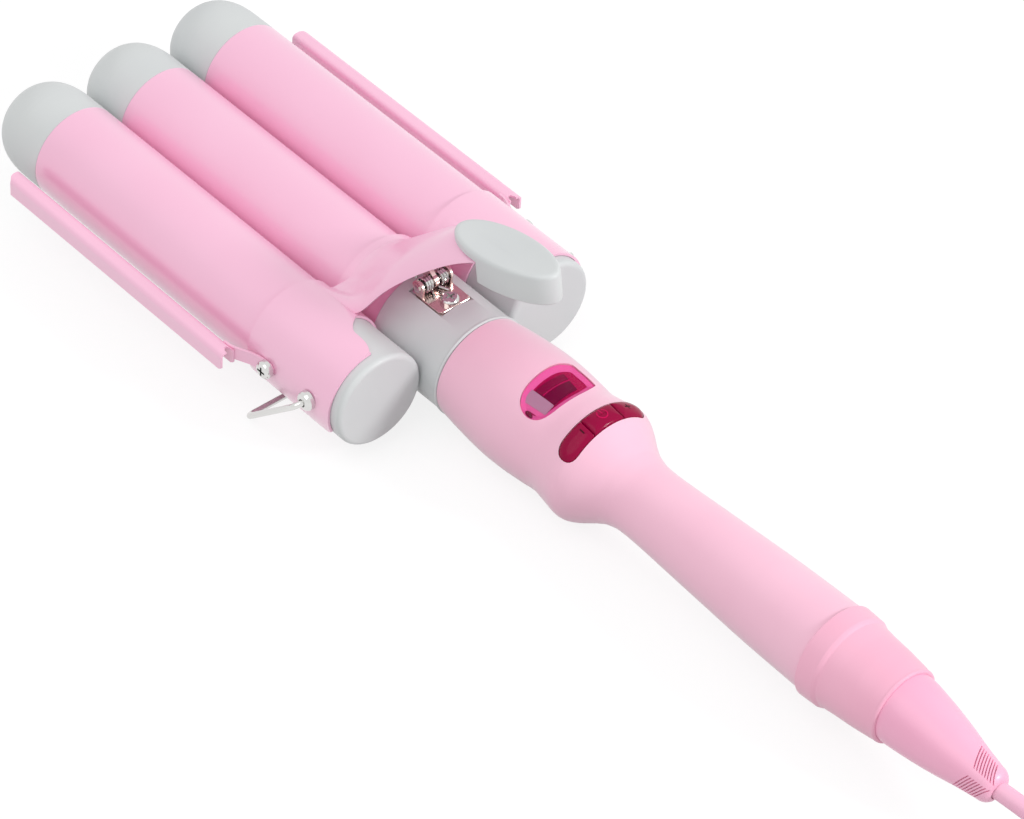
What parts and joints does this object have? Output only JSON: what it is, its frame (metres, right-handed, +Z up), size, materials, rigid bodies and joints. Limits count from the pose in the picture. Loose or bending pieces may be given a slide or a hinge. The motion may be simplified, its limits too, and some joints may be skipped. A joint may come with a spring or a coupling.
{
  "type": "hair waver",
  "caption": "Triple-barrel hair waver with a sprung clamp for the outer barrels, thumb lever, wire rest, side guards, handle with display and keys, and a swivel mains cord.",
  "frame": {"origin": "bottom centre of the tool as it rests on its handle's bulge and its wire rest, without the cord", "axes": "+Y along the centre barrel towards its tip, +Z up away from the surface, +X to the right seen from the handle with the thumb lever up"},
  "size_m": [0.1687, 0.5175, 0.077],
  "materials": {
    "barrel_coat": "gloss lacquer, pale pink",
    "clamp_coat": "gloss lacquer, pale pink",
    "grey_plastic": "satin",
    "handle_skin": "soft touch",
    "boot_skin": "satin",
    "lens": "clear tinted gloss",
    "key_cap": "gloss",
    "bright_steel": "polished nickel",
    "zinc_steel": "zinc plated",
    "inner_plastic": "matt",
    "board": "solder mask",
    "dark_plastic": "matt",
    "heater_stack": "mill finish",
    "contact_brass": "plain",
    "cord_jacket": "matt",
    "strap": "matt",
    "plug_plastic": "satin",
    "pin_metal": "nickel plated"
  },
  "bodies": {
    "handle": {"handle_shell": "handle_skin", "neck": "grey_plastic", "center_barrel": "barrel_coat", "center_tip_cap": "grey_plastic", "center_heater": "heater_stack", "hinge_base": "zinc_steel", "hinge_screw": "zinc_steel", "hinge_pin": "bright_steel", "clamp_spring": "bright_steel", "display_lens": "lens", "display_module": "dark_plastic", "control_board": "board", "key_switches": "dark_plastic", "board_carrier": "inner_plastic", "end_cap": "handle_skin", "slip_ring": "contact_brass", "cord": "cord_jacket", "cord_coil": "cord_jacket", "cord_tie": "strap", "plug_body": "plug_plastic", "plug_pins": "pin_metal"},
    "clamp": {"clamp_bracket": "clamp_coat", "hinge_leaf": "zinc_steel", "thumb_pad": "grey_plastic", "left_barrel": "barrel_coat", "right_barrel": "barrel_coat", "left_tip_cap": "grey_plastic", "right_tip_cap": "grey_plastic", "left_rear_cap": "grey_plastic", "right_rear_cap": "grey_plastic", "left_heater": "heater_stack", "right_heater": "heater_stack", "left_guard": "clamp_coat", "right_guard": "clamp_coat", "guard_screws": "bright_steel"},
    "bushes": {"rest_bushes": "bright_steel"},
    "rest": {"rest_wire": "bright_steel"},
    "minus": {"minus_key": "key_cap"},
    "power": {"power_key": "key_cap"},
    "plus": {"plus_key": "key_cap"},
    "boot": {"cord_boot": "boot_skin"}
  },
  "joints": [
    {"name": "clamp_hinge", "type": "hinge", "parent": "handle", "child": "clamp", "pos_m": [0, 0.04095, 0.03895], "axis": [1, 0, 0], "range_deg": [0, 25], "stiffness_Nm_per_rad": 0.3, "springref_deg": -28.65, "deforming": ["clamp_spring"]},
    {"name": "bush_turn", "type": "hinge", "parent": "clamp", "child": "bushes", "pos_m": [0, 0.03785, 0.02155], "axis": [-1, 0, 0], "range_deg": [0, 23]},
    {"name": "rest_hinge", "type": "hinge", "parent": "bushes", "child": "rest", "pos_m": [0, 0.03785, 0.02155], "axis": [-1, 0, 0], "range_deg": [0, 90]},
    {"name": "minus_press", "type": "slide", "parent": "handle", "child": "minus", "axis": [0, 0, -1], "range_m": [0, 0.0005], "stiffness_N_per_m": 800, "springref_m": -0.0003},
    {"name": "power_press", "type": "slide", "parent": "handle", "child": "power", "axis": [0, 0, -1], "range_m": [0, 0.0005], "stiffness_N_per_m": 800, "springref_m": -0.0003},
    {"name": "plus_press", "type": "slide", "parent": "handle", "child": "plus", "axis": [0, 0, -1], "range_m": [0, 0.0005], "stiffness_N_per_m": 800, "springref_m": -0.0003},
    {"name": "boot_swivel", "type": "hinge", "parent": "handle", "child": "boot", "pos_m": [0, -0.16255, 0.01975], "axis": [0, 0.9976, 0.0698], "continuous": true}
  ],
  "couplings": [
    {"joint": "bush_turn", "follows": "clamp_hinge", "ratio": 0.9}
  ]
}
